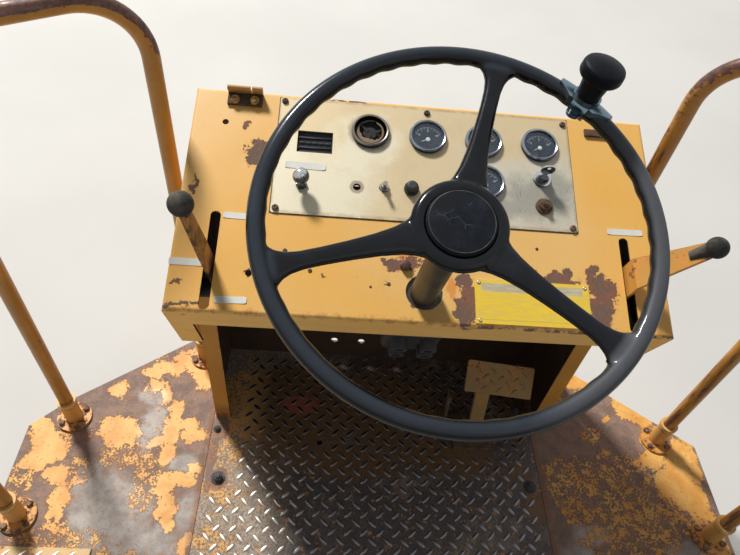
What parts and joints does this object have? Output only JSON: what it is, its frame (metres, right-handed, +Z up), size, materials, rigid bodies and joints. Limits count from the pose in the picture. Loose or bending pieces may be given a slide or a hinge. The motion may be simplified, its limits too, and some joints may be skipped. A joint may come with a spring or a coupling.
{
  "type": "road roller operator's station",
  "caption": "Road roller operator's station: sloping console with steering wheel, levers, gauges and brake pedal on a railed deck.",
  "frame": {"origin": "centre of the four frame bolts, on the underside of the deck frame", "axes": "+Y ahead of the driver, +X to the driver's right, +Z up"},
  "size_m": [1.493, 0.6629, 1.0204],
  "materials": {
    "yellow_paint": "worn satin paint over steel, with rust",
    "deck_steel": "walked-off yellow paint, rust and bare steel",
    "tread_steel": "worn raised-lug plate",
    "frame_steel": "dusty yellow paint",
    "panel_metal": "weathered brushed plate",
    "chrome": "bright bezel",
    "dial_face": "matt black",
    "lens_glass": "clear",
    "black_gloss": "polished by hands",
    "grey_knob": "worn dark plastic",
    "black_rubber": "matt",
    "plain_steel": "dull zinc",
    "rusty_iron": "rust",
    "sign_plate": "blank yellow plate",
    "column_paint": "dark grey paint"
  },
  "bodies": {
    "root": {"frame_rail_left": "frame_steel", "frame_rail_right": "frame_steel", "frame_cross_members": "frame_steel", "outriggers_left": "frame_steel", "outriggers_right": "frame_steel", "deck_centre": "tread_steel", "deck_left": "deck_steel", "deck_right": "deck_steel", "rear_tread": "tread_steel", "pedestal_left": "yellow_paint", "pedestal_right": "yellow_paint", "pedestal_back": "yellow_paint", "console_shell": "yellow_paint", "instrument_plate": "panel_metal", "gauge_dials": "dial_face", "gauge_lenses": "lens_glass", "hour_meter": "dial_face", "ball_switch": "chrome", "toggle_switch": "plain_steel", "push_button": "black_rubber", "key_switch": "plain_steel", "seized_knob": "rusty_iron", "data_plate": "sign_plate", "hinge_left": "yellow_paint", "hinge_right": "rusty_iron", "steering_column": "column_paint", "steering_unit": "column_paint", "pedal_bracket": "rusty_iron", "pedal_latch": "rusty_iron", "gauge_empty": "chrome", "gauge_left": "chrome", "gauge_middle": "chrome", "gauge_right": "chrome", "gauge_low": "chrome", "direction_bracket": "yellow_paint", "throttle_bracket": "yellow_paint", "guard_rail_left": "yellow_paint", "rail_socket_left_front": "yellow_paint", "rail_socket_left_middle": "yellow_paint", "rail_socket_left_rear": "yellow_paint", "guard_rail_right": "yellow_paint", "rail_socket_right_front": "yellow_paint", "rail_socket_right_middle": "yellow_paint", "rail_socket_right_rear": "yellow_paint"},
    "steering": {"steering_wheel": "black_gloss", "steering_shaft": "plain_steel", "wheel_cap": "black_gloss", "spinner_clamp": "plain_steel", "spinner_knob": "grey_knob"},
    "direction": {"direction_lever": "rusty_iron", "direction_knob": "grey_knob"},
    "throttle": {"throttle_lever": "yellow_paint", "throttle_knob": "grey_knob"},
    "pedal": {"brake_pedal": "tread_steel"}
  },
  "joints": [
    {"name": "steering_turn", "type": "hinge", "parent": "root", "child": "steering", "pos_m": [-0.0022, -0.04159, 0.89847], "axis": [0, -0.3665, 0.9304], "continuous": true},
    {"name": "direction_swing", "type": "hinge", "parent": "root", "child": "direction", "pos_m": [-0.3109, 0.11653, 0.57501], "axis": [1, 0, 0], "range_deg": [-23.6, 16.4]},
    {"name": "throttle_swing", "type": "hinge", "parent": "root", "child": "throttle", "pos_m": [0.30796, 0.11653, 0.57501], "axis": [1, 0, 0], "range_deg": [-17, 23]},
    {"name": "pedal_press", "type": "hinge", "parent": "root", "child": "pedal", "pos_m": [0.208, 0.14, 0.124], "axis": [1, 0, 0], "range_deg": [-22, 0], "stiffness_Nm_per_rad": 20, "springref_deg": 5.73}
  ]
}
